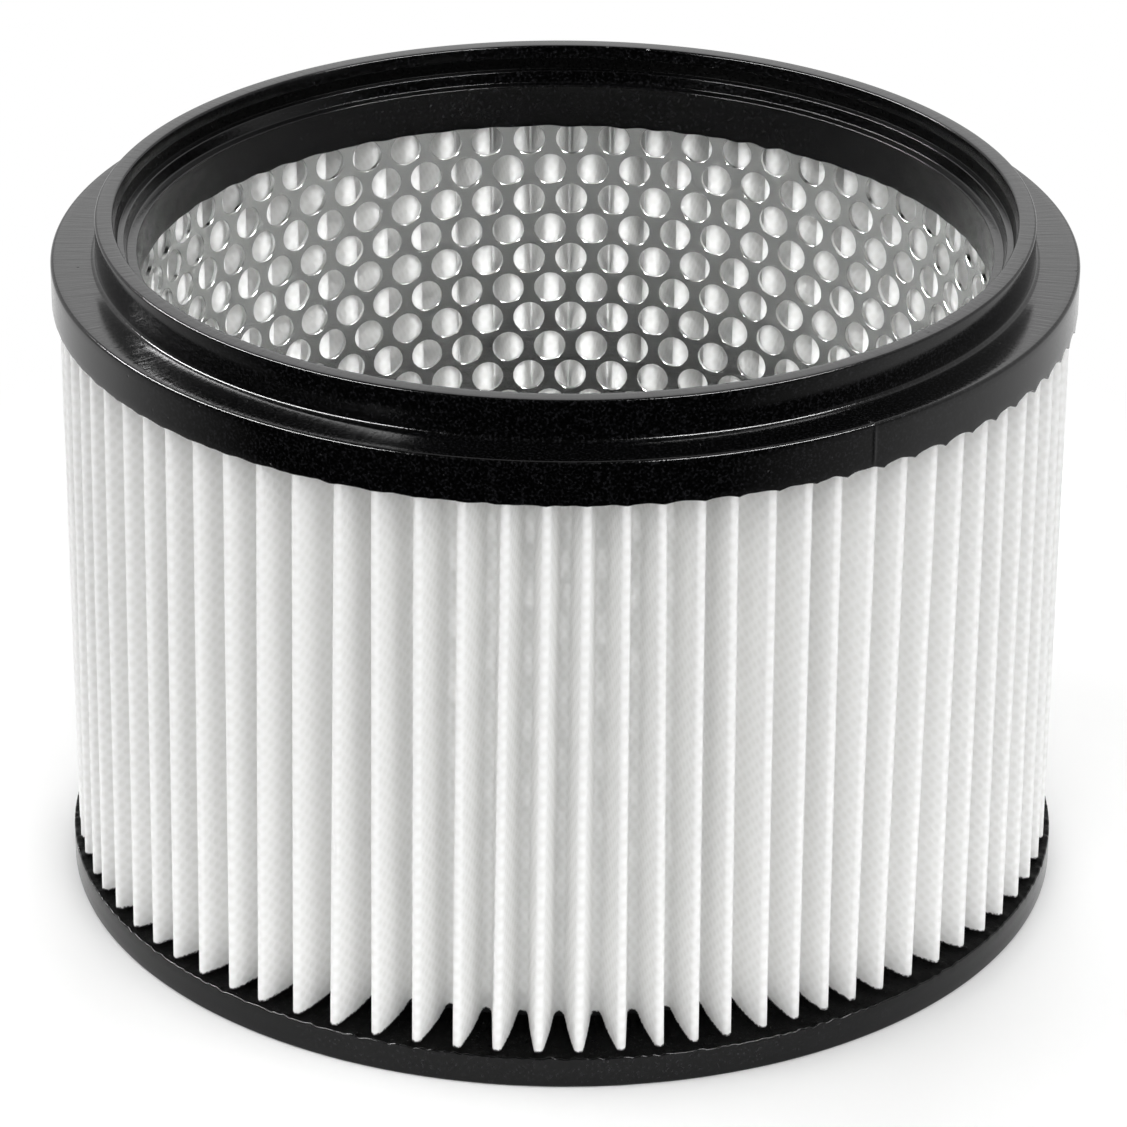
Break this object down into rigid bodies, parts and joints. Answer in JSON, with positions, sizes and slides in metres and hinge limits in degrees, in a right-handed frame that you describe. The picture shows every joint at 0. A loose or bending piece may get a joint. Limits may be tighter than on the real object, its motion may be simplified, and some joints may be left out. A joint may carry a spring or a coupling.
{
  "type": "vacuum cartridge filter",
  "caption": "Round vacuum cartridge filter: a ring of pleated white fleece around a perforated steel core, between black cast end caps, the open upper one with a flange and sealing collar.",
  "frame": {"origin": "centre of the base's underside", "axes": "+Z along the filter's axis, from the closed base to the open collar; X and Y are free, the part is round"},
  "size_m": [0.19, 0.19, 0.1317],
  "materials": {
    "cap_polyurethane": "cast polyurethane, satin to gloss",
    "core_steel": "bright rolled sheet",
    "media_fleece": "embossed polyester fleece"
  },
  "bodies": {
    "root": {"bottom_end_cap": "cap_polyurethane", "top_end_cap": "cap_polyurethane", "perforated_core": "core_steel", "pleated_media": "media_fleece"}
  },
  "joints": []
}
